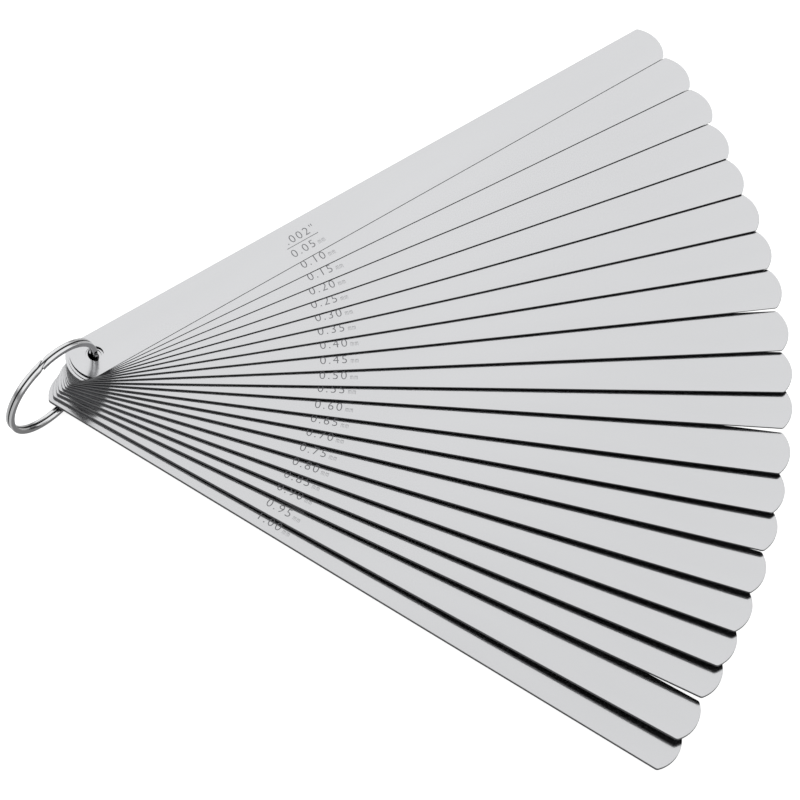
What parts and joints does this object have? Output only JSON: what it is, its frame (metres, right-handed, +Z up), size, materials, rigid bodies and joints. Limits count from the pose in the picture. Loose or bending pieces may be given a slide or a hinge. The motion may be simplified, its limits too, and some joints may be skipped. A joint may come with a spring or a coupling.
{
  "type": "feeler gauge",
  "caption": "Fan of long thin spring-steel gauge leaves of stepped thickness, each with a hole near one end, all threaded on a split ring.",
  "frame": {"origin": "centre of the split ring", "axes": "+Z up, square to the thickest and lowest leaf; +X along the middle of the fan, away from the ring; +Y to the side where the thinnest leaf points. The ring stands upright."},
  "size_m": [0.215, 0.2254, 0.032],
  "materials": {
    "leaf_steel": "cold-rolled spring steel, satin, faintly grained along the leaf",
    "ring_steel": "bright nickel-plated, polished"
  },
  "bodies": {
    "split_ring": {"split_ring": "ring_steel"},
    "leaf_0_05_mm": {"leaf_0_05_mm": "leaf_steel"},
    "leaf_0_10_mm": {"leaf_0_10_mm": "leaf_steel"},
    "leaf_0_15_mm": {"leaf_0_15_mm": "leaf_steel"},
    "leaf_0_20_mm": {"leaf_0_20_mm": "leaf_steel"},
    "leaf_0_25_mm": {"leaf_0_25_mm": "leaf_steel"},
    "leaf_0_30_mm": {"leaf_0_30_mm": "leaf_steel"},
    "leaf_0_35_mm": {"leaf_0_35_mm": "leaf_steel"},
    "leaf_0_40_mm": {"leaf_0_40_mm": "leaf_steel"},
    "leaf_0_45_mm": {"leaf_0_45_mm": "leaf_steel"},
    "leaf_0_50_mm": {"leaf_0_50_mm": "leaf_steel"},
    "leaf_0_55_mm": {"leaf_0_55_mm": "leaf_steel"},
    "leaf_0_60_mm": {"leaf_0_60_mm": "leaf_steel"},
    "leaf_0_65_mm": {"leaf_0_65_mm": "leaf_steel"},
    "leaf_0_70_mm": {"leaf_0_70_mm": "leaf_steel"},
    "leaf_0_75_mm": {"leaf_0_75_mm": "leaf_steel"},
    "leaf_0_80_mm": {"leaf_0_80_mm": "leaf_steel"},
    "leaf_0_85_mm": {"leaf_0_85_mm": "leaf_steel"},
    "leaf_0_90_mm": {"leaf_0_90_mm": "leaf_steel"},
    "leaf_0_95_mm": {"leaf_0_95_mm": "leaf_steel"},
    "leaf_1_00_mm": {"leaf_1_00_mm": "leaf_steel"}
  },
  "joints": [
    {"name": "leaf_0_05_mm_pivot", "type": "hinge", "parent": "split_ring", "child": "leaf_0_05_mm", "pos_m": [0.01111, 0.011, -0.00028], "axis": [-0.085, 0, 0.9964], "range_deg": [-123.5, 56.5]},
    {"name": "leaf_0_10_mm_pivot", "type": "hinge", "parent": "split_ring", "child": "leaf_0_10_mm", "pos_m": [0.01164, 0.01127, -0.00043], "axis": [-0.0849, 0, 0.9964], "range_deg": [-119.6, 60.4]},
    {"name": "leaf_0_15_mm_pivot", "type": "hinge", "parent": "split_ring", "child": "leaf_0_15_mm", "pos_m": [0.01167, 0.0112, -0.00068], "axis": [-0.0846, 0, 0.9964], "range_deg": [-115.7, 64.3]},
    {"name": "leaf_0_20_mm_pivot", "type": "hinge", "parent": "split_ring", "child": "leaf_0_20_mm", "pos_m": [0.01057, 0.01068, -0.00106], "axis": [-0.0839, 0, 0.9965], "range_deg": [-111.8, 68.2]},
    {"name": "leaf_0_25_mm_pivot", "type": "hinge", "parent": "split_ring", "child": "leaf_0_25_mm", "pos_m": [0.00988, 0.01046, -0.00146], "axis": [-0.0829, 0, 0.9966], "range_deg": [-108, 72]},
    {"name": "leaf_0_30_mm_pivot", "type": "hinge", "parent": "split_ring", "child": "leaf_0_30_mm", "pos_m": [0.01003, 0.01054, -0.00184], "axis": [-0.0815, 0, 0.9967], "range_deg": [-104.2, 75.8]},
    {"name": "leaf_0_35_mm_pivot", "type": "hinge", "parent": "split_ring", "child": "leaf_0_35_mm", "pos_m": [0.01008, 0.01056, -0.00228], "axis": [-0.0796, 0, 0.9968], "range_deg": [-100.4, 79.6]},
    {"name": "leaf_0_40_mm_pivot", "type": "hinge", "parent": "split_ring", "child": "leaf_0_40_mm", "pos_m": [0.01031, 0.01057, -0.00275], "axis": [-0.0773, 0, 0.997], "range_deg": [-96.6, 83.4]},
    {"name": "leaf_0_45_mm_pivot", "type": "hinge", "parent": "split_ring", "child": "leaf_0_45_mm", "pos_m": [0.01023, 0.01051, -0.0033], "axis": [-0.0744, 0, 0.9972], "range_deg": [-92.6, 87.4]},
    {"name": "leaf_0_50_mm_pivot", "type": "hinge", "parent": "split_ring", "child": "leaf_0_50_mm", "pos_m": [0.01023, 0.01043, -0.00388], "axis": [-0.071, 0, 0.9975], "range_deg": [-88.8, 91.2]},
    {"name": "leaf_0_55_mm_pivot", "type": "hinge", "parent": "split_ring", "child": "leaf_0_55_mm", "pos_m": [0.01009, 0.01031, -0.00453], "axis": [-0.067, 0, 0.9978], "range_deg": [-85.6, 94.4]},
    {"name": "leaf_0_60_mm_pivot", "type": "hinge", "parent": "split_ring", "child": "leaf_0_60_mm", "pos_m": [0.01013, 0.01013, -0.00521], "axis": [-0.0624, 0, 0.9981], "range_deg": [-81.6, 98.4]},
    {"name": "leaf_0_65_mm_pivot", "type": "hinge", "parent": "split_ring", "child": "leaf_0_65_mm", "pos_m": [0.00992, 0.00992, -0.00595], "axis": [-0.0571, 0, 0.9984], "range_deg": [-78.2, 101.8]},
    {"name": "leaf_0_70_mm_pivot", "type": "hinge", "parent": "split_ring", "child": "leaf_0_70_mm", "pos_m": [0.00975, 0.00963, -0.00674], "axis": [-0.0512, 0, 0.9987], "range_deg": [-75, 105]},
    {"name": "leaf_0_75_mm_pivot", "type": "hinge", "parent": "split_ring", "child": "leaf_0_75_mm", "pos_m": [0.00943, 0.0093, -0.00759], "axis": [-0.0446, 0, 0.999], "range_deg": [-71.4, 108.6]},
    {"name": "leaf_0_80_mm_pivot", "type": "hinge", "parent": "split_ring", "child": "leaf_0_80_mm", "pos_m": [0.00893, 0.00893, -0.00849], "axis": [-0.0372, 0, 0.9993], "range_deg": [-68.1, 111.9]},
    {"name": "leaf_0_85_mm_pivot", "type": "hinge", "parent": "split_ring", "child": "leaf_0_85_mm", "pos_m": [0.00816, 0.00856, -0.00944], "axis": [-0.0291, 0, 0.9996], "range_deg": [-65.2, 114.8]},
    {"name": "leaf_0_90_mm_pivot", "type": "hinge", "parent": "split_ring", "child": "leaf_0_90_mm", "pos_m": [0.00772, 0.00786, -0.01043], "axis": [-0.0202, 0, 0.9998], "range_deg": [-62.7, 117.3]},
    {"name": "leaf_0_95_mm_pivot", "type": "hinge", "parent": "split_ring", "child": "leaf_0_95_mm", "pos_m": [0.00701, 0.00701, -0.01147], "axis": [-0.0105, 0, 0.9999], "range_deg": [-59.1, 120.9]},
    {"name": "leaf_1_00_mm_pivot", "type": "hinge", "parent": "split_ring", "child": "leaf_1_00_mm", "pos_m": [0.00594, 0.00594, -0.01257], "axis": [0, 0, 1], "range_deg": [-56.8, 123.2]}
  ]
}
